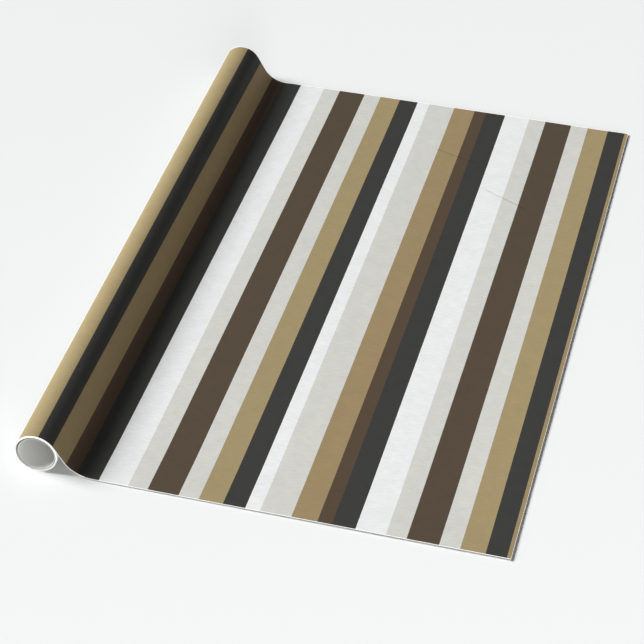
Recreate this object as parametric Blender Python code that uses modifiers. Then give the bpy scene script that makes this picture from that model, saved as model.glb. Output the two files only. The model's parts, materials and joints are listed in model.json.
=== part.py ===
"""A roll of printed gift wrap on a core tube, with its free end drawn out flat.

The web is one long sheet of paper. Most of it is wound into a coil. It leaves the coil's right
side, comes down in an S-shaped lead and lies flat. Metres, +Z up. The coil's axis runs along Y, and
the sheet is drawn out towards +X. The coil lies slightly askew, so the flat sheet and its printed
stripes are turned a little about Z. The sheet bends at hinge lines that lie on printed edges, so
each stretch between two of them is a panel of its own.
"""

import math

import bmesh
import bpy
from mathutils import Matrix, Vector

# The web
WEB_WIDTH = 0.7366
WEB_LENGTH = 1.829
PAPER = 0.00012
FLAT_LENGTH = 0.397
SHEET_TURN = math.radians(-0.85)
PANEL_EDGES = (0.0, 0.0791, 0.1444, 0.2140, 0.2796, 0.3495, FLAT_LENGTH)
NODE_GAP = 0.0003

# The coil, and the lead that leaves it
COIL_RADIUS = 0.0213
COIL_PITCH = 0.0002
STEPS_PER_TURN = 40
LEAD_SLOPE = math.radians(61)
FOOT_RADIUS = 0.0305
FOOT_TO_PRINT_EDGE = 0.0129
TAIL_LENGTH = 0.004
FOOT_STEPS = 16

# The core tube
CORE_RADIUS = 0.0183
CORE_WALL = 0.0008
CORE_STEPS = 72
CORE_LEAN = math.radians(30)

# The lead's reach, from the two bends that its straight middle touches
BEND_DROP = COIL_RADIUS * (1 + math.cos(LEAD_SLOPE)) - FOOT_RADIUS * (1 - math.cos(LEAD_SLOPE))
STRAIGHT_LEAD = BEND_DROP / math.sin(LEAD_SLOPE)
BEND_REACH = (COIL_RADIUS + FOOT_RADIUS) * math.sin(LEAD_SLOPE)
COIL_TO_FOOT = BEND_REACH + STRAIGHT_LEAD * math.cos(LEAD_SLOPE)

# The turned sheet's corners set the object's box, whose middle is the origin
TURN_REACH_X = FLAT_LENGTH * math.cos(SHEET_TURN) - WEB_WIDTH / 2 * math.sin(SHEET_TURN)
TURN_REACH_Y = WEB_WIDTH / 2 * math.cos(SHEET_TURN) - FLAT_LENGTH * math.sin(SHEET_TURN)
BOX_LENGTH = COIL_RADIUS + COIL_TO_FOOT + FOOT_TO_PRINT_EDGE + TURN_REACH_X
MIDDLE_Y = (TURN_REACH_Y - WEB_WIDTH / 2) / 2
COIL_X = COIL_RADIUS - BOX_LENGTH / 2
FOOT_X = COIL_X + COIL_TO_FOOT
PRINT_EDGE_X = FOOT_X + FOOT_TO_PRINT_EDGE
COIL_CENTRE = Vector((COIL_X, MIDDLE_Y, COIL_RADIUS))

# The middle of the paper's thickness is the line that the web follows
MID = PAPER / 2
OUTER_TURN = COIL_RADIUS - MID
LEAD_LENGTH = STRAIGHT_LEAD + (FOOT_RADIUS - MID) * LEAD_SLOPE + FOOT_TO_PRINT_EDGE
WOUND_LENGTH = WEB_LENGTH - FLAT_LENGTH - LEAD_LENGTH
SHEET_START = Matrix.Translation((PRINT_EDGE_X, MIDDLE_Y, MID)) @ Matrix.Rotation(SHEET_TURN, 4, "Z")

# The printed panels' colours, and the plain ones
BOARD_WHITE = (0.72, 0.72, 0.70)
PRINT_WHITE = (0.80, 0.80, 0.82)
GOLD = (0.36, 0.28, 0.16)
BLACK = (0.05, 0.05, 0.05)
BROWN = (0.09, 0.07, 0.05)
TAN = (0.28, 0.22, 0.13)
PANEL_COLOURS = (PRINT_WHITE, GOLD, TAN, BLACK, BROWN, GOLD)


def clear_scene():
    """Remove every object that the open file holds."""
    for item in list(bpy.data.objects):
        bpy.data.objects.remove(item, do_unlink=True)


def make_collection(name):
    """Link a new collection to the scene."""
    group = bpy.data.collections.new(name)
    bpy.context.scene.collection.children.link(group)
    return group


def matte(name, colour, roughness=0.75):
    """A dull, non-metallic finish."""
    material = bpy.data.materials.new(name)
    material.use_nodes = True
    shader = material.node_tree.nodes["Principled BSDF"]
    shader.inputs["Base Color"].default_value = (*colour, 1.0)
    shader.inputs["Roughness"].default_value = roughness
    shader.inputs["Metallic"].default_value = 0.0
    return material


def add_object(group, name, shape, material):
    """Turn a bmesh into a named piece of the collection, with its own material."""
    mesh = bpy.data.meshes.new(name)
    shape.to_mesh(mesh)
    shape.free()
    mesh.materials.append(material)
    item = bpy.data.objects.new(name, mesh)
    group.objects.link(item)
    return item


def on_circle(centre, radius, angle):
    """A point in the XZ plane, with the angle counted from straight up towards +X."""
    return centre + radius * Vector((math.sin(angle), 0.0, math.cos(angle)))


def lead_direction():
    """The way the web runs as it leaves the coil, down and to the right."""
    return Vector((math.cos(LEAD_SLOPE), 0.0, -math.sin(LEAD_SLOPE)))


def turns_in(length):
    """How many turns of the spiral take up a length of web."""
    # length = 2 pi (OUTER_TURN n - COIL_PITCH n^2 / 2), solved for n
    reach = OUTER_TURN**2 - COIL_PITCH * length / math.pi
    return (OUTER_TURN - math.sqrt(reach)) / COIL_PITCH


def coil_path():
    """The wound web's line: its short straight tail, then the spiral from outside to inside."""
    turns = turns_in(WOUND_LENGTH)
    start = on_circle(COIL_CENTRE, OUTER_TURN, LEAD_SLOPE)
    path = [start + TAIL_LENGTH * lead_direction()]
    for step in range(math.ceil(turns * STEPS_PER_TURN) + 1):
        turn = min(step / STEPS_PER_TURN, turns)
        radius = OUTER_TURN - COIL_PITCH * turn
        path.append(on_circle(COIL_CENTRE, radius, LEAD_SLOPE - math.tau * turn))
    return path


def lead_path():
    """The lead's line: straight down off the coil, round the foot's hollow bend, then flat."""
    start = on_circle(COIL_CENTRE, OUTER_TURN, LEAD_SLOPE)
    path = [start + (TAIL_LENGTH + NODE_GAP) * lead_direction()]
    bend_centre = Vector((FOOT_X, MIDDLE_Y, FOOT_RADIUS))
    for step in range(FOOT_STEPS + 1):
        angle = math.pi + LEAD_SLOPE * (1 - step / FOOT_STEPS)
        path.append(on_circle(bend_centre, FOOT_RADIUS - MID, angle))
    path.append(Vector((PRINT_EDGE_X, MIDDLE_Y, MID)))
    return path


def sheet_point(along, across):
    """A point on the flat sheet: along it from the first printed edge, and across it."""
    return SHEET_START @ Vector((along, across, 0.0))


def paper_strip(group, name, path, material, last_edge=None):
    """A full-width strip of paper along a line in the XZ plane, as thick as the paper.

    last_edge gives the near and far corner where the strip's last edge isn't square to the rest.
    """
    half = Vector((0.0, WEB_WIDTH / 2, 0.0))
    shape = bmesh.new()
    near = [shape.verts.new(point - half) for point in path]
    edges = [shape.edges.new(pair) for pair in zip(near, near[1:])]
    drawn = bmesh.ops.extrude_edge_only(shape, edges=edges)
    far = [item for item in drawn["geom"] if isinstance(item, bmesh.types.BMVert)]
    bmesh.ops.translate(shape, verts=far, vec=2 * half)
    if last_edge:
        near[-1].co, max(far, key=lambda vert: vert.co.x).co = last_edge
    strip = add_object(group, name, shape, material)
    wall = strip.modifiers.new("paper thickness", "SOLIDIFY")
    wall.thickness = PAPER
    wall.offset = 0.0
    wall.use_even_offset = True
    return strip


def core_tube(group):
    """The board tube, lying against the lower right of the coil's bore."""
    bore = OUTER_TURN - MID - COIL_PITCH * turns_in(WOUND_LENGTH)
    play = bore - CORE_RADIUS - NODE_GAP
    shape = bmesh.new()
    top = shape.verts.new((CORE_RADIUS, 0.0, WEB_WIDTH / 2))
    bottom = shape.verts.new((CORE_RADIUS, 0.0, -WEB_WIDTH / 2))
    shape.edges.new((top, bottom))
    tube = add_object(group, "core_tube", shape, matte("white lined board", BOARD_WHITE))
    turned = tube.modifiers.new("turned wall", "SCREW")
    turned.steps = CORE_STEPS
    turned.render_steps = CORE_STEPS
    turned.use_merge_vertices = True
    turned.merge_threshold = 0.00001
    wall = tube.modifiers.new("board thickness", "SOLIDIFY")
    wall.thickness = CORE_WALL
    wall.offset = -1.0
    wall.use_even_offset = True
    tube.rotation_euler = (math.radians(90), 0.0, 0.0)
    tube.location = on_circle(COIL_CENTRE, -play, -CORE_LEAN)
    return tube


def sheet_panel(group, name, length, colour):
    """One flat panel, whose hinge line is a half gap to the left of it."""
    shape = bmesh.new()
    bmesh.ops.create_cube(shape, size=1.0)
    bmesh.ops.scale(shape, verts=shape.verts, vec=Vector((length, WEB_WIDTH, PAPER)))
    middle = Vector(((NODE_GAP + length) / 2, 0.0, 0.0))
    bmesh.ops.translate(shape, verts=shape.verts, vec=middle)
    return add_object(group, name, shape, matte(f"{name} print", colour))


def flat_sheet(group):
    """The flat sheet: a chain of empties on its hinge lines, each with the panel that it turns."""
    carrier = None
    last_edge = 0.0
    spans = zip(PANEL_EDGES, PANEL_EDGES[1:], PANEL_COLOURS)
    for number, (start, end, colour) in enumerate(spans, start=1):
        hinge = bpy.data.objects.new(f"hinge_line_{number}", None)
        group.objects.link(hinge)
        if carrier:
            hinge.parent = carrier
            hinge.location = (start - last_edge, 0.0, 0.0)
        else:
            hinge.location = SHEET_START.translation
            hinge.rotation_euler = (0.0, 0.0, SHEET_TURN)
        end_gap = NODE_GAP / 2 if end < FLAT_LENGTH else 0.0
        panel = sheet_panel(
            group, f"sheet_panel_{number}", end - start - NODE_GAP / 2 - end_gap, colour
        )
        panel.parent = hinge
        carrier = hinge
        last_edge = start


def main():
    clear_scene()
    group = make_collection("wrapping_paper_roll")
    core_tube(group)
    paper_strip(group, "paper_coil", coil_path(), matte("coil print", GOLD))
    corners = [sheet_point(-NODE_GAP / 2, side * WEB_WIDTH / 2) for side in (-1, 1)]
    paper_strip(group, "paper_lead", lead_path(), matte("lead print", TAN), corners)
    flat_sheet(group)


main()
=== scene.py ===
# %% [markdown]
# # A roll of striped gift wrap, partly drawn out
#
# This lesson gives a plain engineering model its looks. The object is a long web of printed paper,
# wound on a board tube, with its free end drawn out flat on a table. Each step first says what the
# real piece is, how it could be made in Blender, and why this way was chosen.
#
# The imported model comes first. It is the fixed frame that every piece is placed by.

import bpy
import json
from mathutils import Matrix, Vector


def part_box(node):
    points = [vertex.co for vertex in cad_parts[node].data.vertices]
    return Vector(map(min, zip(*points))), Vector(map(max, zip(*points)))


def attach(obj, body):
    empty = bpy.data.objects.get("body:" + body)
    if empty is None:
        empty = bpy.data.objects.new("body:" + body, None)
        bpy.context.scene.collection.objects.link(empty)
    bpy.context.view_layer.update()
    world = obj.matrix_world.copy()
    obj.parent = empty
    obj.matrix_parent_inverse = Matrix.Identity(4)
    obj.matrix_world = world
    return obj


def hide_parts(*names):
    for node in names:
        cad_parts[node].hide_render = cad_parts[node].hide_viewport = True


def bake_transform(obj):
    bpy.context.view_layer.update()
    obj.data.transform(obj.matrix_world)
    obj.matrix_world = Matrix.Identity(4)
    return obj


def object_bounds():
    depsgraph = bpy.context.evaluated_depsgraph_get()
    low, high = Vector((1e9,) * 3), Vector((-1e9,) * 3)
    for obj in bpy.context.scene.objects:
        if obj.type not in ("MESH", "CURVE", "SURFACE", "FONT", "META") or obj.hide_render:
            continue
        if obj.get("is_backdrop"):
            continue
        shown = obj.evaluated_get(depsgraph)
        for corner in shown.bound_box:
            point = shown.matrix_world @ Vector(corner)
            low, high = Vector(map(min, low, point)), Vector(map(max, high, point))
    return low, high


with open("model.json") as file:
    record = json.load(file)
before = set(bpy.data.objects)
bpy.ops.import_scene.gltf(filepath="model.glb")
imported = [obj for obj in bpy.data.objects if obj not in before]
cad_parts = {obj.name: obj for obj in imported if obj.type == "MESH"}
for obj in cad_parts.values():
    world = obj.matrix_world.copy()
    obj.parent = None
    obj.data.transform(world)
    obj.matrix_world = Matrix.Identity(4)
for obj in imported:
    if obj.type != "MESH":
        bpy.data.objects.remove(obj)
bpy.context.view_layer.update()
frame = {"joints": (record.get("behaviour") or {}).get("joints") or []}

# %% Blender's own modules
import json
import math

import bmesh
import bpy
from mathutils import Quaternion, Vector, noise

# %% [markdown]
# ## The camera
#
# A long lens looks down on the roll from its near right. It could be aimed by a Track To constraint,
# but a rotation worked out once from its place and its target needs no second object. The small roll
# about the line of sight is the tilt of a hand-levelled tripod.

# %% The camera
CAMERA_PLACE = Vector((0.38566, -1.79263, 1.38368))
CAMERA_TARGET = Vector((-0.01645, -0.07293, 0.00047))
CAMERA_TILT = math.radians(1.08)
LENS_MM = 120.68


def add_camera():
    """A long-lens camera, aimed once and then tilted about its own line of sight."""
    data = bpy.data.cameras.new("studio_camera")
    data.lens = LENS_MM
    camera = bpy.data.objects.new("studio_camera", data)
    bpy.context.scene.collection.objects.link(camera)
    aim = (CAMERA_TARGET - CAMERA_PLACE).to_track_quat("-Z", "Y")
    camera.rotation_mode = "QUATERNION"
    camera.rotation_quaternion = aim @ Quaternion((0.0, 0.0, 1.0), CAMERA_TILT)
    camera.location = CAMERA_PLACE
    bpy.context.scene.camera = camera


add_camera()
print("camera is", round((CAMERA_TARGET - CAMERA_PLACE).length, 3), "m from what it looks at")

# %% [markdown]
# ## Colours and nodes
#
# Colours are given as sRGB hex values, but shaders work in linear light, so one function turns the
# first into the second. Materials are node trees, and one small function adds a node with its
# settings and its inputs. An input is either a value or another node's output. A Mix node has
# several sockets of the same name, one set for each kind of data, so its sockets are numbered.

# %% Helpers for colours and nodes
MIX_A, MIX_B, MIX_RESULT = 6, 7, 2
FLOAT_A, FLOAT_B, FLOAT_RESULT = 2, 3, 0
SHARP_FROM = math.radians(50)


def linear(hex_colour):
    """A linear RGBA colour from an sRGB hex value."""
    channels = [int(hex_colour[i : i + 2], 16) / 255 for i in (1, 3, 5)]
    lit = [c / 12.92 if c <= 0.04045 else ((c + 0.055) / 1.055) ** 2.4 for c in channels]
    return (*lit, 1.0)


def add_node(tree, kind, inputs=None, **settings):
    """A new node, with its settings, and with each input set to a value or linked to an output."""
    node = tree.nodes.new(kind)
    for name, value in settings.items():
        setattr(node, name, value)
    for name, value in (inputs or {}).items():
        if isinstance(value, bpy.types.NodeSocket):
            tree.links.new(value, node.inputs[name])
        else:
            node.inputs[name].default_value = value
    return node


def new_material(name):
    """An empty node material, with its tree and its Principled shader."""
    material = bpy.data.materials.new(name)
    material.use_nodes = True
    return material, material.node_tree, material.node_tree.nodes["Principled BSDF"]


# %% [markdown]
# ## The studio
#
# The roll lies on a plain pale table. A large soft lamp stands on the left and isn't high, so that the
# coil shades the slope that the paper comes down. It is far enough away to light the whole table
# evenly, so it is a sun lamp with the width of a softbox. A low reflector behind the camera lights
# the roll's near end and the inside of its tube. It is an area lamp, because it is near enough for
# its light to fade a little across the table.
#
# The room is a warm pale wall all round under a dark ceiling, which keeps the shadows deep. Seen from
# low down, so dim a wall would look grey. The Light Path node tells the camera's rays from all others,
# so the camera alone sees a bright backdrop. The floor is a stage piece, not a part of the object.

# %% The floor, the lamp and the room
FLOOR_HALF = 6.0
FLOOR_DROP = 0.0002
FLOOR_WHITE = "#f6f8f8"
LAMP_BEARING = math.radians(-1)
LAMP_HEIGHT = math.radians(38)
LAMP_WIDTH = math.radians(26)
LAMP_STRENGTH = 4.25
REFLECTOR_PLACE = Vector((1.07, -4.28, 0.88))
REFLECTOR_SIZE = 1.7
REFLECTOR_WATTS = 86.0
WALL_BRIGHT_TO = 0.21
WALL_DARK_FROM = 0.53
WALL_STRENGTH = 0.35
BACKDROP_STRENGTH = 0.88
WALL_COLOUR = "#fff9f1"


def add_floor():
    """A wide table top, just under the lowest paper."""
    shape = bmesh.new()
    bmesh.ops.create_grid(shape, x_segments=8, y_segments=8, size=FLOOR_HALF)
    bmesh.ops.translate(shape, verts=shape.verts, vec=(0.0, 0.0, -FLOOR_DROP))
    mesh = bpy.data.meshes.new("table_top")
    shape.to_mesh(mesh)
    shape.free()
    floor = bpy.data.objects.new("table_top", mesh)
    bpy.context.scene.collection.objects.link(floor)
    material, _, shader = new_material("matt white table top")
    shader.inputs["Base Color"].default_value = linear(FLOOR_WHITE)
    shader.inputs["Roughness"].default_value = 0.9
    shader.inputs["Specular IOR Level"].default_value = 0.1
    mesh.materials.append(material)
    floor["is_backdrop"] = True


def add_lamp():
    """A distant softbox: a sun lamp that looks down at the table from the left."""
    data = bpy.data.lights.new("soft_lamp", "SUN")
    data.energy = LAMP_STRENGTH
    data.angle = LAMP_WIDTH
    lamp = bpy.data.objects.new("soft_lamp", data)
    level = Vector((-math.cos(LAMP_BEARING), math.sin(LAMP_BEARING), math.tan(LAMP_HEIGHT)))
    lamp.rotation_euler = (-level).to_track_quat("-Z", "Y").to_euler()
    bpy.context.scene.collection.objects.link(lamp)


def add_reflector():
    """A white reflector, low behind the camera."""
    data = bpy.data.lights.new("reflector", "AREA")
    data.shape = "DISK"
    data.size = REFLECTOR_SIZE
    data.energy = REFLECTOR_WATTS
    lamp = bpy.data.objects.new("reflector", data)
    lamp.location = REFLECTOR_PLACE
    lamp.rotation_euler = (-REFLECTOR_PLACE).to_track_quat("-Z", "Y").to_euler()
    lamp.visible_camera = False
    bpy.context.scene.collection.objects.link(lamp)


def add_room():
    """A pale wall all round, under a dark ceiling, that the camera sees as a bright backdrop."""
    world = bpy.data.worlds.new("pale_room")
    world.use_nodes = True
    tree = world.node_tree
    way = add_node(tree, "ShaderNodeTexCoord")
    axes = add_node(tree, "ShaderNodeSeparateXYZ", {"Vector": way.outputs["Generated"]})
    wall = add_node(
        tree,
        "ShaderNodeMapRange",
        {
            "Value": axes.outputs["Z"],
            "From Min": WALL_BRIGHT_TO,
            "From Max": WALL_DARK_FROM,
            "To Min": WALL_STRENGTH,
            "To Max": 0.0,
        },
        interpolation_type="SMOOTHSTEP",
    )
    ray = add_node(tree, "ShaderNodeLightPath")
    seen = add_node(
        tree,
        "ShaderNodeMix",
        {
            0: ray.outputs["Is Camera Ray"],
            FLOAT_A: wall.outputs["Result"],
            FLOAT_B: BACKDROP_STRENGTH,
        },
        data_type="FLOAT",
    )
    background = tree.nodes["Background"]
    tree.links.new(seen.outputs[FLOAT_RESULT], background.inputs["Strength"])
    background.inputs["Color"].default_value = linear(WALL_COLOUR)
    bpy.context.scene.world = world
    bpy.context.scene.view_settings.view_transform = "Standard"


add_floor()
add_lamp()
add_reflector()
add_room()

# %% [markdown]
# ## Where the web runs
#
# The web is one strip. Seen from the side it winds inwards as a spiral, leaves the coil on its right
# as a straight slope, bends the other way at its foot and then lies flat. Those few dimensions are
# the same as in the engineering model, apart from the coil's pitch. There the turns need clear gaps,
# and here they are as tight as on a real roll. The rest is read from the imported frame: the hinge
# lines give the print edge where the flat sheet starts, the sheet's turn, and each panel's length.

# %% The web's driving dimensions
WEB_LENGTH = 1.829
PAPER = 0.00012
COIL_RADIUS = 0.0213
COIL_PITCH = 0.000145
LEAD_SLOPE = math.radians(61)
FOOT_RADIUS = 0.0305
FOOT_TO_PRINT_EDGE = 0.0129

coil_low, coil_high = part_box("paper_coil")
WEB_WIDTH = coil_high.y - coil_low.y
MIDDLE_Y = (coil_low.y + coil_high.y) / 2

bends = [joint for joint in frame["joints"] if joint["type"] == "hinge"]
PRINT_EDGE = Vector(bends[0]["pos_m"])
ACROSS = -Vector(bends[0]["axis"]).normalized()
ALONG = ACROSS.cross(Vector((0.0, 0.0, 1.0)))
TURN_COS = ALONG.x
TURN_SIN = ACROSS.x
BEND_LINES = [(Vector(joint["pos_m"]) - PRINT_EDGE).dot(ALONG) for joint in bends]
FREE_EDGE_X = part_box(f"sheet_panel_{len(bends)}")[1].x
FLAT_LENGTH = (FREE_EDGE_X - PRINT_EDGE.x - TURN_SIN * WEB_WIDTH / 2) / TURN_COS
print("flat sheet", round(FLAT_LENGTH, 4), "m long and", round(WEB_WIDTH, 4), "m wide")

# %% [markdown]
# The line is followed backwards from the print edge, so a distance is negative on the lead and the
# coil. A spiral that loses a fixed pitch each turn has a length that is quadratic in its turns,
# which can be solved for the turns. That gives the point at any distance without adding up steps.

# %% The line that the web follows
MID = PAPER / 2
FOOT_BEND = FOOT_RADIUS - MID
OUTER_TURN = COIL_RADIUS - MID
BEND_DROP = COIL_RADIUS * (1 + math.cos(LEAD_SLOPE)) - FOOT_RADIUS * (1 - math.cos(LEAD_SLOPE))
STRAIGHT_LEAD = BEND_DROP / math.sin(LEAD_SLOPE)
COIL_TO_FOOT = (COIL_RADIUS + FOOT_RADIUS) * math.sin(LEAD_SLOPE)
COIL_TO_FOOT += STRAIGHT_LEAD * math.cos(LEAD_SLOPE)
FOOT_X = PRINT_EDGE.x - FOOT_TO_PRINT_EDGE
COIL_X = FOOT_X - COIL_TO_FOOT
FOOT_ARC = FOOT_BEND * LEAD_SLOPE
LEAD_LENGTH = FOOT_TO_PRINT_EDGE + FOOT_ARC + STRAIGHT_LEAD
WOUND_LENGTH = WEB_LENGTH - FLAT_LENGTH - LEAD_LENGTH


def turns_in(length):
    """How many turns of the spiral take up a length of web."""
    reach = OUTER_TURN**2 - COIL_PITCH * length / math.pi
    return (OUTER_TURN - math.sqrt(reach)) / COIL_PITCH


def length_of(turns):
    """The length of web in the spiral's outer turns."""
    return math.tau * (OUTER_TURN * turns - COIL_PITCH * turns**2 / 2)


def web_line(distance):
    """The web's x and z at a distance from the print edge, negative towards the coil."""
    if distance >= -FOOT_TO_PRINT_EDGE:
        return PRINT_EDGE.x + distance, MID
    back = -FOOT_TO_PRINT_EDGE - distance
    angle = min(back / FOOT_BEND, LEAD_SLOPE)
    x = FOOT_X - FOOT_BEND * math.sin(angle)
    z = MID + FOOT_BEND * (1 - math.cos(angle))
    if back <= FOOT_ARC:
        return x, z
    back -= FOOT_ARC
    if back <= STRAIGHT_LEAD:
        return x - back * math.cos(LEAD_SLOPE), z + back * math.sin(LEAD_SLOPE)
    turns = turns_in(back - STRAIGHT_LEAD)
    radius = OUTER_TURN - COIL_PITCH * turns
    angle = LEAD_SLOPE - math.tau * turns
    return COIL_X + radius * math.sin(angle), COIL_RADIUS + radius * math.cos(angle)


TURNS = turns_in(WOUND_LENGTH)
print("coil of", round(TURNS, 2), "turns, lead of", round(LEAD_LENGTH * 1000, 1), "mm")

# %% [markdown]
# ## How the paper lies
#
# Paper that has been wound keeps a memory of it. It never lies dead flat: its cut edges stand a
# couple of millimetres off the table and it has long shallow waves. A cloth simulation would give
# waves too, but paper doesn't stretch, and a simulated sheet wouldn't meet the next one exactly. So
# the lift is a formula of the place on the web, which all the pieces share.

# %% The lift of the laid paper
NEAR_LIFT = 0.0014
NEAR_LIFT_REACH = 0.070
FAR_LIFT = 0.0008
FREE_LIFT = 0.0014
FREE_LIFT_REACH = 0.075
WAVE_HEIGHT = 0.0005
WAVE_LENGTH = 0.17
LEAD_SETTLES = 0.045


def smooth(low, high, value):
    """0 below low, 1 above high, and a smooth step between them."""
    share = min(max((value - low) / (high - low), 0.0), 1.0)
    return share * share * (3 - 2 * share)


def lift(along, across):
    """How far the paper stands off the table at a place on the web."""
    half = WEB_WIDTH / 2
    near = NEAR_LIFT * smooth(half - NEAR_LIFT_REACH, half, -across)
    far = FAR_LIFT * smooth(half - NEAR_LIFT_REACH, half, across)
    free = FREE_LIFT * smooth(FLAT_LENGTH - FREE_LIFT_REACH, FLAT_LENGTH, along)
    wave = noise.noise(Vector((along, across, 0.0)) / WAVE_LENGTH)
    waves = WAVE_HEIGHT * (1 + wave) * smooth(0.0, WAVE_LENGTH / 2, along)
    fade = smooth(-FOOT_TO_PRINT_EDGE - LEAD_SETTLES, -FOOT_TO_PRINT_EDGE, along)
    return (max(near, far, free) + waves) * fade


print("near edge stands", round(lift(FLAT_LENGTH / 2, -WEB_WIDTH / 2) * 1000, 2), "mm off the table")

# %% [markdown]
# ## Making paper
#
# Each length of web starts as what it is, a flat rectangle: `create_grid` makes it with one edge
# along the web and one across. While it is flat its UV map is taken straight from it in metres, so
# the print can later be placed with a ruler. Its outermost rows are only as wide as the bare line
# that a knife leaves along a cut edge, and they get the colour of bare paper with a painted glow.
# The line is widest on the wound paper, where it shows as a bright painted line on the shaded slope,
# and finest at the free end.
#
# Then every vertex moves to its place in space, and Solidify gives the sheet the paper's thickness.
# The modifier is applied so that the cut edges can be marked sharp. Solidify makes the whole rim bare
# paper. But the lengths are one web, so where two of them meet the rim is printed again, and no white
# shows in the join.

# %% Helpers that make a length of web
# The bare lines carry the cut edge's painted glow; the wound paper's is widest so that it shows on the
# shaded slope.
CUT_LINE = 0.0005
WOUND_CUT_LINE = 0.0008
FREE_CUT_LINE = 0.0002
PRINT, BARE, BACK = 0, 1, 2


def is_bare(along, across, cut_line):
    """True on the bare line along a cut edge of the web."""
    return abs(across) > WEB_WIDTH / 2 - cut_line or along > FLAT_LENGTH - FREE_CUT_LINE


def lay_out(columns, rows, along_at, across_at, cut_line=CUT_LINE):
    """A flat length of web, with its columns and rows respaced by two functions of 0 to 1."""
    shape = bmesh.new()
    bmesh.ops.create_grid(shape, x_segments=columns, y_segments=rows, size=0.5)
    for vert in shape.verts:
        vert.co = (along_at(vert.co.x + 0.5), across_at(vert.co.y + 0.5), 0.0)
    for face in shape.faces:
        middle = face.calc_center_median()
        face.material_index = BARE if is_bare(middle.x, middle.y, cut_line) else PRINT
    return shape


def settle(shape, pattern_at, place_at):
    """Keep each vertex's place in the print as its UV, then move it to its place in space."""
    web = shape.loops.layers.uv.new("web")
    for face in shape.faces:
        for loop in face.loops:
            loop[web].uv = pattern_at(loop.vert.co.x, loop.vert.co.y)
    for vert in shape.verts:
        vert.co = place_at(vert.co.x, vert.co.y)


def across_rows(rows, crowding, cut_line=CUT_LINE):
    """A function that spaces rows across the web, crowded towards its two edges."""
    inner = WEB_WIDTH / 2 - cut_line

    def place(share):
        row = round(share * rows)
        if row in (0, rows):
            return math.copysign(WEB_WIDTH / 2, share - 0.5)
        t = 2 * (row - 1) / (rows - 2) - 1
        return inner * ((1 - crowding) * t + crowding * math.sin(t * math.pi / 2))

    return place


def print_joins(mesh):
    """Give the rims back their print where a length of web meets the next one."""
    web = mesh.uv_layers["web"].data
    for face in mesh.polygons:
        corners = [web[loop].uv for loop in face.loop_indices]
        along, across = sum(corners, Vector((0.0, 0.0))) / len(corners)
        if face.material_index == BARE and not is_bare(along, across, WOUND_CUT_LINE):
            face.material_index = PRINT


def thicken(item, thickness, group=None, least=0.0):
    """Give a sheet its thickness for good, and mark its cut edges sharp."""
    wall = item.modifiers.new("paper thickness", "SOLIDIFY")
    wall.thickness = thickness
    wall.offset = 0.0
    wall.use_even_offset = True
    wall.material_offset = BACK
    wall.material_offset_rim = BARE
    if group:
        wall.vertex_group = group
        wall.thickness_vertex_group = least
    flat = item.data
    seen = item.evaluated_get(bpy.context.evaluated_depsgraph_get())
    item.data = bpy.data.meshes.new_from_object(seen)
    item.modifiers.clear()
    bpy.data.meshes.remove(flat)
    item.data.name = item.name
    print_joins(item.data)
    item.data.shade_smooth()
    item.data.set_sharp_from_angle(angle=SHARP_FROM)


def link_piece(name, shape, materials):
    """A named object made from a bmesh, with its materials."""
    mesh = bpy.data.meshes.new(name)
    shape.to_mesh(mesh)
    shape.free()
    for material in materials:
        mesh.materials.append(material)
    item = bpy.data.objects.new(name, mesh)
    bpy.context.scene.collection.objects.link(item)
    return item


# %% [markdown]
# ## The print
#
# Gift wrap is printed on one side in flat inks. This one is a repeat of twenty stripes across the
# web. The stripes could be separate faces, each with its own material, but their edges would then
# depend on the mesh. Instead the distance along the web is divided by the repeat's length, as a
# printing cylinder does, and each stripe's ink lies over the last one from where it starts.
#
# A colour ramp with hard steps would be shorter, but a ramp is stored as 256 samples. Over a repeat
# of this length that would move the stripes' edges by up to 1.8 mm.

# %% The stripes of one repeat
WHITE, GREY, BROWN, GOLD, BLACK, TAN, UMBER = (
    "#eff0f1", "#d5d5cf", "#574b3e", "#a5946e", "#3d3d3b", "#9f8b67", "#58493b",
)
STRIPES_MM = (
    (29.0, WHITE), (19.5, GREY), (30.6, BROWN), (19.8, GREY), (23.7, GOLD),
    (21.8, BLACK), (14.4, WHITE), (30.3, GREY), (24.9, TAN), (14.0, UMBER),
    (22.6, BLACK), (29.0, WHITE), (19.5, GREY), (30.6, BROWN), (19.8, GREY),
    (23.7, GOLD), (19.8, BLACK), (24.9, TAN), (14.0, UMBER), (22.6, BLACK),
)
REPEAT_MM = sum(width for width, _ in STRIPES_MM)
print("one repeat of the print is", round(REPEAT_MM, 1), "mm")

# %% [markdown]
# The stock is a matt paper embossed with a fine linen grain: crossed threads about half a millimetre
# apart, each a little uneven. Two wave textures, one along the web and one across it, give the
# threads. They are drawn about twice as coarse as the real ones, or they would be too fine to show.
# They tilt the surface, as bump, and tint the ink, because it lies thinner on the tops of threads.
#
# Two noises make the tint uneven. One is cloudy. The other is squeezed across the web, so that it
# makes slubs, which are short thick stretches of the threads that run along the web. Along a handling
# crease the ink is darkened, as painted shade. The mesh of the flat sheet says where, in its
# "crease" attribute, and the wound paper has none.
#
# At a scale of 1 a Wave texture has 20 bands in tau metres, which gives the scale for a thread.

# %% Printed linen-embossed paper
THREAD_MM = 1.15
BANDS_PER_METRE = 20 / math.tau
SLUB_SQUEEZE = 5.0
SLUB_WEIGHT = 1.6
INK_UNEVENNESS = 0.14
# How much the painted shade along a crease darkens the ink.
CREASE_PAINTED_SHADE = 0.78
MM = 1000.0


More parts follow.
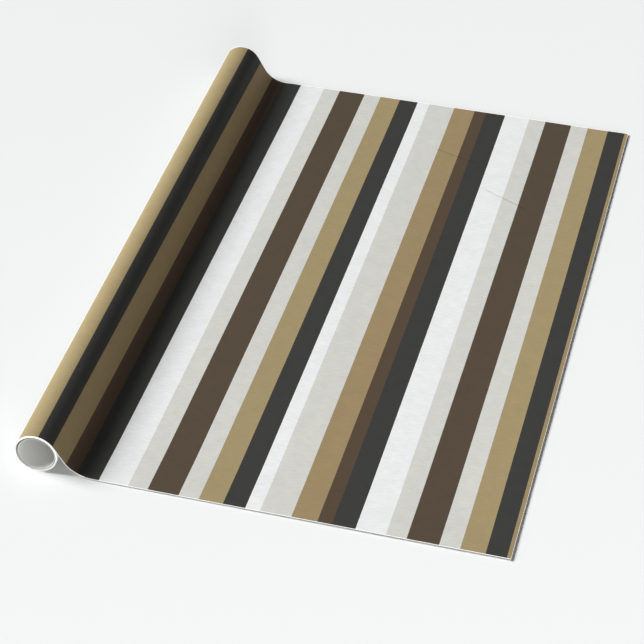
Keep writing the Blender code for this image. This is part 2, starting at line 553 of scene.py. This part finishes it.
def printed_paper():
    """Matt inks on linen-embossed white paper: flat colours with a faint woven grain."""
    material, tree, shader = new_material("matt inks on linen embossed paper")
    web = add_node(tree, "ShaderNodeUVMap", uv_map="web")
    place = add_node(tree, "ShaderNodeSeparateXYZ", {"Vector": web.outputs["UV"]})
    repeats = add_node(
        tree, "ShaderNodeMath", {0: place.outputs["X"], 1: REPEAT_MM / MM}, operation="DIVIDE"
    )
    share = add_node(tree, "ShaderNodeMath", {0: repeats.outputs[0]}, operation="FRACT")
    stripe = linear(STRIPES_MM[0][1])
    start = STRIPES_MM[0][0]
    for width, colour in STRIPES_MM[1:]:
        past = add_node(
            tree,
            "ShaderNodeMath",
            {0: share.outputs[0], 1: start / REPEAT_MM},
            operation="GREATER_THAN",
        )
        stripe = add_node(
            tree,
            "ShaderNodeMix",
            {0: past.outputs[0], MIX_A: stripe, MIX_B: linear(colour)},
            data_type="RGBA",
        ).outputs[MIX_RESULT]
        start += width
    threads = [
        add_node(
            tree,
            "ShaderNodeTexWave",
            {
                "Vector": web.outputs["UV"],
                "Scale": MM / THREAD_MM / BANDS_PER_METRE,
                "Distortion": 1.2,
                "Detail": 2.0,
                "Detail Scale": 0.6,
            },
            wave_type="BANDS",
            bands_direction=direction,
            wave_profile="SIN",
        )
        for direction in ("X", "Y")
    ]
    weave = add_node(
        tree,
        "ShaderNodeMath",
        {0: threads[0].outputs["Fac"], 1: threads[1].outputs["Fac"]},
        operation="ADD",
    )
    cloud = add_node(
        tree, "ShaderNodeTexNoise", {"Vector": web.outputs["UV"], "Scale": 60.0, "Detail": 5.0}
    )
    squeezed = add_node(
        tree,
        "ShaderNodeMapping",
        {"Vector": web.outputs["UV"], "Scale": (1.0, SLUB_SQUEEZE, 1.0)},
    )
    slubs = add_node(
        tree,
        "ShaderNodeTexNoise",
        {"Vector": squeezed.outputs["Vector"], "Scale": 110.0, "Detail": 2.0},
    )
    clouded = add_node(
        tree,
        "ShaderNodeMath",
        {0: slubs.outputs["Fac"], 1: SLUB_WEIGHT, 2: cloud.outputs["Fac"]},
        operation="MULTIPLY_ADD",
    )
    uneven = add_node(
        tree,
        "ShaderNodeMath",
        {0: weave.outputs[0], 1: 0.5, 2: clouded.outputs[0]},
        operation="MULTIPLY_ADD",
    )
    # The weave, the slubs and the clouds each average a half, so this is their sum's average.
    average = (1.0 + SLUB_WEIGHT + 1.0) / 2
    tint = add_node(
        tree,
        "ShaderNodeMapRange",
        {
            "Value": uneven.outputs[0],
            "From Min": average - 1.0,
            "From Max": average + 1.0,
            "To Min": 1.0 - INK_UNEVENNESS,
            "To Max": 1.0 + INK_UNEVENNESS,
        },
    )
    # Painted shade: the ink is darkened along the creases by the "crease" attribute.
    crease_share = add_node(tree, "ShaderNodeAttribute", attribute_name="crease")
    painted_crease_shade = add_node(
        tree,
        "ShaderNodeMapRange",
        {"Value": crease_share.outputs["Fac"], "To Min": 1.0, "To Max": CREASE_PAINTED_SHADE},
    )
    shade = add_node(
        tree,
        "ShaderNodeMath",
        {0: tint.outputs["Result"], 1: painted_crease_shade.outputs["Result"]},
        operation="MULTIPLY",
    )
    ink = add_node(
        tree,
        "ShaderNodeMix",
        {0: 1.0, MIX_A: stripe, MIX_B: shade.outputs[0]},
        data_type="RGBA",
        blend_type="MULTIPLY",
    )
    grain = add_node(
        tree,
        "ShaderNodeBump",
        {"Height": weave.outputs[0], "Strength": 0.25, "Distance": 0.0001},
    )
    tree.links.new(ink.outputs[MIX_RESULT], shader.inputs["Base Color"])
    tree.links.new(grain.outputs["Normal"], shader.inputs["Normal"])
    shader.inputs["Roughness"].default_value = 0.62
    shader.inputs["Specular IOR Level"].default_value = 0.15
    return material


# %% [markdown]
# The back is the bare white stock. A cut edge is the same stock where the knife has broken the
# coating. A little glow, which is painted light, keeps it the brightest line on the object even in
# the shade, in place of the light that translucent fibres would let through.

# %% Bare paper
def bare_paper(name, colour, roughness, glow=0.0):
    """Uncoated white stock: soft, fibrous and without gloss, with an optional painted glow."""
    material, tree, shader = new_material(name)
    web = add_node(tree, "ShaderNodeUVMap", uv_map="web")
    fibres = add_node(
        tree, "ShaderNodeTexNoise", {"Vector": web.outputs["UV"], "Scale": 900.0, "Detail": 4.0}
    )
    shade = add_node(
        tree,
        "ShaderNodeMapRange",
        {"Value": fibres.outputs["Fac"], "To Min": 0.95, "To Max": 1.03},
    )
    stock = add_node(
        tree,
        "ShaderNodeMix",
        {0: 1.0, MIX_A: linear(colour), MIX_B: shade.outputs["Result"]},
        data_type="RGBA",
        blend_type="MULTIPLY",
    )
    bump = add_node(
        tree,
        "ShaderNodeBump",
        {"Height": fibres.outputs["Fac"], "Strength": 0.2, "Distance": 0.0001},
    )
    tree.links.new(stock.outputs[MIX_RESULT], shader.inputs["Base Color"])
    tree.links.new(bump.outputs["Normal"], shader.inputs["Normal"])
    shader.inputs["Roughness"].default_value = roughness
    # A painted glow: the stock's own colour given off as light.
    shader.inputs["Emission Color"].default_value = linear(colour)
    shader.inputs["Emission Strength"].default_value = glow
    return material


PRINTED = printed_paper()
# The cut edge glows a little: painted light that keeps it bright in the shade.
CUT_EDGE_PAINTED_GLOW = bare_paper("knife-cut paper edge, painted glow", "#fdfdfb", 0.8, glow=0.45)
PAPER_BACK = bare_paper("uncoated paper back", "#efeeea", 0.85)
WEB_MATERIALS = (PRINTED, CUT_EDGE_PAINTED_GLOW, PAPER_BACK, PAPER_BACK)

# %% [markdown]
# ## The coil and the lead
#
# The wound web and the lead that slopes off it are one length of paper on one body, so they are one
# piece. Its columns are spaced so that every turn has the same number, which keeps the spiral
# equally round all the way in.
#
# The coil lies slightly askew to the flat sheet. So towards the sheet the columns turn by the
# sheet's angle, until the last one lies exactly along the print. The print shears in the same way,
# but further up, round the coil's top. Only the UV map carries that.

# %% The coil's columns and its twist
TURN_COLUMNS = 72
LEAD_COLUMNS = 36
COIL_ROWS = 36
SEAM = -0.014
SHEAR_OUT = -0.055
SHEAR_IN = -0.095
COIL_SHARE = TURNS * TURN_COLUMNS / (TURNS * TURN_COLUMNS + LEAD_COLUMNS)


def coil_column(share):
    """The distance along the web of a column, from the inner end at 0 to the seam at 1."""
    if share <= COIL_SHARE:
        return -LEAD_LENGTH - length_of(TURNS * (1 - share / COIL_SHARE))
    part = (share - COIL_SHARE) / (1 - COIL_SHARE)
    return -LEAD_LENGTH + part * (LEAD_LENGTH + SEAM)


def turned(along, across, share=1.0):
    """A place on the flat sheet as path and side: along the coil's own line, and across it."""
    path = TURN_COS * along + TURN_SIN * across
    side = TURN_COS * across - TURN_SIN * along
    return along + share * (path - along), across + share * (side - across)


def coil_pattern(along, across):
    """Where a point of the coil or the lead is in the print."""
    path, side = turned(along, across, smooth(-LEAD_LENGTH, SEAM, along))
    return TURN_COS * path - TURN_SIN * side * smooth(SHEAR_IN, SHEAR_OUT, path), across


# %% [markdown]
# A web never winds perfectly true: each turn wanders sideways by a fraction of a millimetre, which
# makes the fine uneven rings at the roll's ends. The same offset moves both edges of a turn.
#
# The wound turns are drawn a little thicker than the paper, because the gaps between them are too
# fine to show as lines and would only turn the white ends grey. A vertex group carries that.

# %% The coil and the lead
WANDER = 0.0003
WANDER_WAVE = 0.2
WOUND_PAPER = 0.00013
THICKENS_FROM = 0.06
THICKENS_TO = 0.13
COIL_CROWDING = 0.8


def coil_place(along, across):
    """Where a point of the coil or the lead is in space."""
    path, side = turned(along, across, smooth(-LEAD_LENGTH, SEAM, along))
    x, z = web_line(path)
    wound = max(-LEAD_LENGTH - path, 0.0)
    wander = WANDER * math.sin(math.tau * wound / WANDER_WAVE) * smooth(0.0, WANDER_WAVE, wound)
    rise = lift(TURN_COS * path - TURN_SIN * side, across)
    return x, MIDDLE_Y + side + wander, z + rise


def coil_piece():
    """The wound web and its lead, as one sheet of paper."""
    columns = round(TURNS * TURN_COLUMNS) + LEAD_COLUMNS
    rows = across_rows(COIL_ROWS, COIL_CROWDING, WOUND_CUT_LINE)
    shape = lay_out(columns, COIL_ROWS, coil_column, rows, WOUND_CUT_LINE)
    weights = shape.verts.layers.deform.verify()
    for vert in shape.verts:
        wound = -LEAD_LENGTH - vert.co.x
        vert[weights][0] = smooth(THICKENS_FROM, THICKENS_TO, wound)
    settle(shape, coil_pattern, coil_place)
    coil = link_piece("wound_paper", shape, WEB_MATERIALS)
    coil.vertex_groups.new(name="wound")
    thicken(coil, WOUND_PAPER, "wound", PAPER / WOUND_PAPER)
    return coil


coil = coil_piece()
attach(coil, "roll")
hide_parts("paper_coil", "paper_lead")
print("wound paper has", len(coil.data.polygons), "faces")

# %% [markdown]
# ## The flat sheet
#
# The drawn-out sheet flexes as one, and the engineering model stands in for that with hinge lines.
# A piece can bend across one hinge, so the sheet is cut at the middle of each panel, where nothing
# bends. Neighbours share the formulas above, so they meet at rest.
#
# Handling has left two faint creases. `bisect_plane` cuts the flat mesh along each crease and a hair
# to each side of it, and the middle line is then pushed down. The same depth goes into the mesh's
# "crease" attribute, as a share of the deepest, and the print darkens the ink by it as painted shade.

# %% The flat sheet's creases
CREASE_DEPTH = 0.0003
CREASE_HALF_WIDTH = 0.0016
CREASES = (
    (Vector((0.182, 0.2795)), Vector((0.240, 0.260))),
    (Vector((0.252, 0.215)), Vector((0.313, 0.184))),
)


def crease_depth(along, across):
    """How far a crease sinks the paper at a place on the web."""
    sunk = 0.0
    for start, end in CREASES:
        run = end - start
        offset = Vector((along, across)) - start
        share = offset.dot(run) / run.length_squared
        distance = abs(offset.x * run.y - offset.y * run.x) / run.length
        near = 1 - smooth(0.0, CREASE_HALF_WIDTH, distance)
        sunk += CREASE_DEPTH * near * smooth(0.0, 0.15, share) * smooth(1.0, 0.9, share)
    return sunk


def cut_creases(shape, first, last):
    """Cut edge lines along the creases that lie on this length of web."""
    for start, end in CREASES:
        if start.x < first or end.x > last:
            continue
        run = (end - start).normalized()
        normal = Vector((-run.y, run.x))
        for step in (-1, 0, 1):
            point = start + step * CREASE_HALF_WIDTH * normal
            geometry = [*shape.verts, *shape.edges, *shape.faces]
            bmesh.ops.bisect_plane(
                shape,
                geom=geometry,
                dist=1e-6,
                plane_co=(*point, 0.0),
                plane_no=(*normal, 0.0),
            )


# %% The flat sheet
SHEET_STEP = 0.005
SHEET_ROWS = 148
SHEET_CROWDING = 0.25


def sheet_pattern(along, across):
    """Where a point of the flat sheet is in the print."""
    return along, across


def sheet_place(along, across):
    """Where a point of the flat sheet is in space."""
    path, side = turned(along, across)
    x, z = web_line(path)
    return x, MIDDLE_Y + side, z + lift(along, across) - crease_depth(along, across)


def sheet_piece(name, first, last):
    """A length of the flat sheet between two distances from the print edge."""
    columns = round((last - first) / SHEET_STEP)
    free = last >= FLAT_LENGTH

    def column(share):
        if free and round(share * columns) == columns:
            return last
        inner = last - free * FREE_CUT_LINE
        return first + share * columns / (columns - free) * (inner - first)

    shape = lay_out(columns, SHEET_ROWS, column, across_rows(SHEET_ROWS, SHEET_CROWDING))
    cut_creases(shape, first, last)
    crease = shape.verts.layers.float.new("crease")
    for vert in shape.verts:
        vert[crease] = crease_depth(vert.co.x, vert.co.y) / CREASE_DEPTH
    settle(shape, sheet_pattern, sheet_place)
    item = link_piece(name, shape, WEB_MATERIALS)
    thicken(item, PAPER)
    return item


middles = [(a + b) / 2 for a, b in zip(BEND_LINES, BEND_LINES[1:] + [FLAT_LENGTH])]
starts = [SEAM] + middles[:-1]
ends = middles[:-1] + [FLAT_LENGTH]
for number, bend in enumerate(BEND_LINES, start=1):
    first, last = starts[number - 1], ends[number - 1]
    item = sheet_piece(f"flat_paper_{number}", first, last)
    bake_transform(item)
    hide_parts(f"sheet_panel_{number}")
    print(item.name, "is", round((last - first) * 1000, 1), "mm long,", len(item.data.polygons), "faces")

# %% [markdown]
# ## The core tube
#
# The core is a tube of white-lined board, wound from strips on a slant and sawn to length. It could
# be a Screw modifier on a profile, but a bmesh `spin` of the wall's section gives the same closed
# tube at once. Its four sawn rims are then softened with `bevel`.
#
# It is a little thinner than the coil's bore and lies at the bottom of it, so a dark gap shows over
# it, deepened by the core's dark outer ply as painted shade. Its ends are just inside the coil's,
# which leaves the paper's white edge as the outer ring.

# %% The core tube
CORE_WALL = 0.0007
CORE_RADIUS = 0.0188
CORE_STEPS = 96
CORE_LENGTHS = 24
SAWN_EDGE = 0.0002
CORE_LEAN = math.radians(8)
CORE_RECESS = 0.0012

core_low, core_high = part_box("core_tube")
COIL_MIDDLE = Vector((COIL_X, (core_low.y + core_high.y) / 2, COIL_RADIUS))
CORE_LENGTH = core_high.y - core_low.y - 2 * CORE_RECESS
COIL_BORE = OUTER_TURN - MID - COIL_PITCH * TURNS
lean = Vector((math.sin(CORE_LEAN), 0.0, -math.cos(CORE_LEAN)))
CORE_MIDDLE = COIL_MIDDLE + (COIL_BORE - CORE_RADIUS - SAWN_EDGE / 2) * lean


def core_piece():
    """The board tube: its wall's section spun round its axis, with softened rims."""
    shape = bmesh.new()
    bmesh.ops.create_grid(shape, x_segments=1, y_segments=CORE_LENGTHS, size=0.5)
    for vert in shape.verts:
        radius = CORE_RADIUS - CORE_WALL * (0.5 - vert.co.x)
        vert.co = CORE_MIDDLE + Vector((radius, vert.co.y * CORE_LENGTH, 0.0))
    inside = [edge for edge in shape.edges if not edge.is_boundary]
    bmesh.ops.delete(shape, geom=inside, context="EDGES")
    bmesh.ops.spin(
        shape,
        geom=[*shape.verts, *shape.edges],
        cent=CORE_MIDDLE,
        axis=(0.0, 1.0, 0.0),
        angle=math.tau,
        steps=CORE_STEPS,
        use_merge=True,
    )
    bmesh.ops.recalc_face_normals(shape, faces=shape.faces)
    rims = [edge for edge in shape.edges if edge.calc_face_angle(0.0) > 1.0]
    bmesh.ops.bevel(
        shape,
        geom=rims,
        offset=SAWN_EDGE,
        offset_type="OFFSET",
        affect="EDGES",
        segments=3,
        profile=0.5,
        material=-1,
    )
    tube = link_piece("core_board_tube", shape, (white_lined_board(),))
    tube.data.shade_smooth()
    tube.data.set_sharp_from_angle(angle=SHARP_FROM)
    return tube


# %% [markdown]
# The board is grey outside and has a white liner inside, wound from a strip whose edges meet in a
# faint spiral seam. An angle round the axis plus a share of the distance along it is the same all
# along such a seam, so its fraction, taken once a turn, draws the seam without a UV map. The grey
# outer ply starts where the distance from the axis comes near the tube's outer radius. Its grey is a
# guess, chosen dark so that it also paints the shade in the gap between the core and the coil.

# %% White-lined core board
SEAM_LEAD = 0.085
SEAM_SHARE = 0.012
OUTER_PLY = 0.00025


def white_lined_board():
    """Grey board, dark enough to paint the gap's shade, with a smooth white liner inside: matt, with a
    faint spiral seam.
    """
    material, tree, shader = new_material("white-lined core board")
    place = add_node(tree, "ShaderNodeTexCoord")
    centred = add_node(
        tree, "ShaderNodeMapping", {"Vector": place.outputs["Object"], "Location": -CORE_MIDDLE}
    )
    axes = add_node(tree, "ShaderNodeSeparateXYZ", {"Vector": centred.outputs["Vector"]})
    angle = add_node(
        tree,
        "ShaderNodeMath",
        {0: axes.outputs["Z"], 1: axes.outputs["X"]},
        operation="ARCTAN2",
    )
    turn = add_node(
        tree, "ShaderNodeMath", {0: angle.outputs[0], 1: math.tau}, operation="DIVIDE"
    )
    wound = add_node(
        tree,
        "ShaderNodeMath",
        {0: axes.outputs["Y"], 1: 1 / SEAM_LEAD, 2: turn.outputs[0]},
        operation="MULTIPLY_ADD",
    )
    share = add_node(tree, "ShaderNodeMath", {0: wound.outputs[0]}, operation="FRACT")
    seam = add_node(
        tree,
        "ShaderNodeMath",
        {0: share.outputs[0], 1: SEAM_SHARE},
        operation="LESS_THAN",
    )
    fibres = add_node(
        tree,
        "ShaderNodeTexNoise",
        {"Vector": place.outputs["Object"], "Scale": 700.0, "Detail": 4.0},
    )
    shade = add_node(
        tree,
        "ShaderNodeMapRange",
        {"Value": fibres.outputs["Fac"], "To Min": 0.96, "To Max": 1.02},
    )
    liner = add_node(
        tree,
        "ShaderNodeMix",
        {0: 1.0, MIX_A: linear("#e9e9e6"), MIX_B: shade.outputs["Result"]},
        data_type="RGBA",
        blend_type="MULTIPLY",
    )
    seamed = add_node(
        tree,
        "ShaderNodeMix",
        {0: seam.outputs[0], MIX_A: liner.outputs[MIX_RESULT], MIX_B: linear("#d6d4cc")},
        data_type="RGBA",
    )
    section = add_node(
        tree,
        "ShaderNodeVectorMath",
        {0: centred.outputs["Vector"], 1: (1.0, 0.0, 1.0)},
        operation="MULTIPLY",
    )
    radius = add_node(
        tree, "ShaderNodeVectorMath", {0: section.outputs[0]}, operation="LENGTH"
    )
    outside = add_node(
        tree,
        "ShaderNodeMath",
        {0: radius.outputs["Value"], 1: CORE_RADIUS - OUTER_PLY},
        operation="GREATER_THAN",
    )
    # The dark grey outer ply is partly the board's own colour and partly painted shade for the gap over
    # the core.
    ply_and_gap_shade = add_node(
        tree,
        "ShaderNodeMix",
        {0: outside.outputs[0], MIX_A: seamed.outputs[MIX_RESULT], MIX_B: linear("#5f5a52")},
        data_type="RGBA",
    )
    tree.links.new(ply_and_gap_shade.outputs[MIX_RESULT], shader.inputs["Base Color"])
    shader.inputs["Roughness"].default_value = 0.6
    return material


core = core_piece()
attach(core, "core")
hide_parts("core_tube")
print("core tube has", len(core.data.polygons), "faces")

# %% [markdown]
# ## The size, and the end
#
# The finished pieces' box is measured and printed.

# %% Keep the sizes and finish
seen_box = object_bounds()
for name, low, high in zip("XYZ", *seen_box):
    print(name, "from", round(low * 1000, 1), "to", round(high * 1000, 1), "mm")
